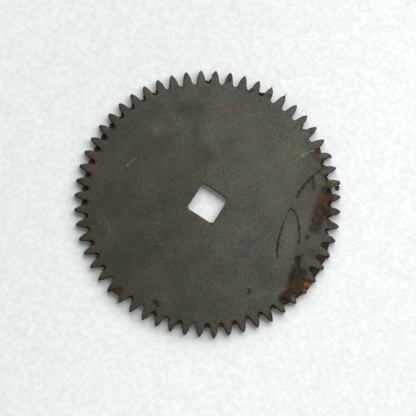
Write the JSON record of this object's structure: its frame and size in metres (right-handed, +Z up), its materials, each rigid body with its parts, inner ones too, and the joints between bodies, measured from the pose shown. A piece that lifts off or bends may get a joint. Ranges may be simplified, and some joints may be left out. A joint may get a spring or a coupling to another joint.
{
  "type": "ratchet wheel",
  "caption": "Flat round steel ratchet wheel with pointed teeth all round its rim and a square hole in the middle for a square arbor, worn and rusty at one side.",
  "frame": {"origin": "on the arbor's axis, at the wheel's underside", "axes": "+Z up through the wheel along the arbor; +X and +Y square to the flats of the hole, each through the middle of a gap between two teeth"},
  "size_m": [0.0412, 0.0412, 0.0012],
  "materials": {
    "aged_steel": "matt dark grey-brown oxide on plain steel, with red-brown rust along one side of the rim and in the gaps between the teeth"
  },
  "bodies": {
    "root": {"ratchet_wheel": "aged_steel"}
  },
  "joints": []
}
